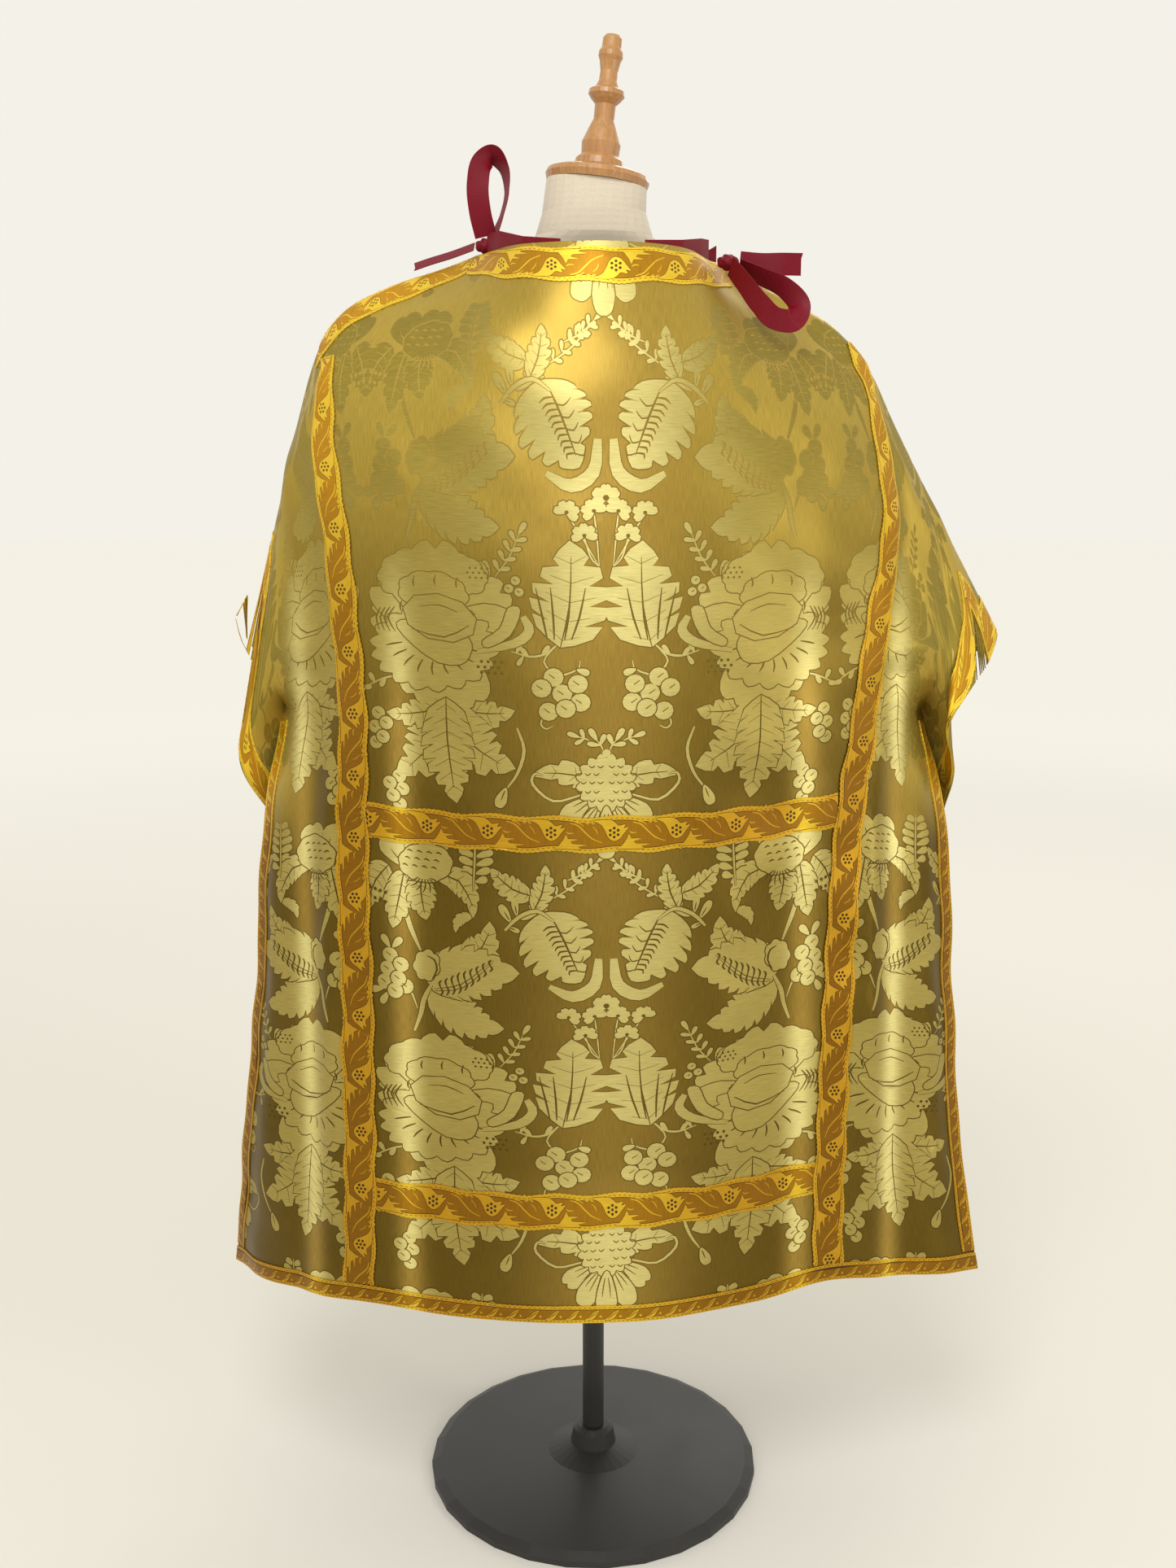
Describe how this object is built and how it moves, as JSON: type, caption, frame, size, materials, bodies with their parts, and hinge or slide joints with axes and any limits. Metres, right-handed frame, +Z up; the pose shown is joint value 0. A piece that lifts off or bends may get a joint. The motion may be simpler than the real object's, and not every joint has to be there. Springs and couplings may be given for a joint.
{
  "type": "dalmatic on a dress form",
  "caption": "Short wide-sleeved vestment of gold floral damask edged with woven braid, open at the sides and tied at the shoulders, resting on a limbless dress form with a round foot.",
  "frame": {"origin": "centre of the underside of the dress form's round foot, on the floor", "axes": "+Z up; -Y is the way the garment's back faces; +X is to the right of a viewer who looks at the back"},
  "size_m": [0.9619, 0.43, 1.7835],
  "materials": {
    "damask": "woven silk damask, satin ground, soft sheen",
    "galloon": "woven silk braid, bright yellow gold",
    "ribbon": "plain silk ribbon, satin",
    "form_cloth": "stretched linen cover, matt",
    "oak": "turned and waxed",
    "painted_steel": "dark enamel, satin"
  },
  "bodies": {
    "root": {"back_panel": "damask", "band_back_left": "galloon", "band_back_right": "galloon", "band_front_left": "galloon", "band_front_right": "galloon", "bar_back_lower": "galloon", "bar_back_upper": "galloon", "bar_front_lower": "galloon", "bar_front_upper": "galloon", "cuff_galloon_back_left": "galloon", "cuff_galloon_back_right": "galloon", "cuff_galloon_front_left": "galloon", "cuff_galloon_front_right": "galloon", "form_base": "painted_steel", "form_finial": "oak", "form_neck_cap": "oak", "form_pole": "painted_steel", "form_torso": "form_cloth", "front_panel": "damask", "hem_galloon_back": "galloon", "hem_galloon_front": "galloon", "neck_galloon_back": "galloon", "neck_galloon_front": "galloon", "shoulder_galloon_left": "galloon", "shoulder_galloon_right": "galloon", "side_back_left": "damask", "side_back_right": "damask", "side_front_left": "damask", "side_front_right": "damask", "slit_galloon_back_left": "galloon", "slit_galloon_back_right": "galloon", "slit_galloon_front_left": "galloon", "slit_galloon_front_right": "galloon", "tie_knot_left": "ribbon", "tie_knot_right": "ribbon", "tie_loop_left": "ribbon", "tie_loop_right": "ribbon", "tie_strand_back_left": "ribbon", "tie_strand_back_right": "ribbon", "tie_strand_front_left": "ribbon", "tie_strand_front_right": "ribbon", "tie_tail_left": "ribbon", "tie_tail_right": "ribbon"}
  },
  "joints": []
}
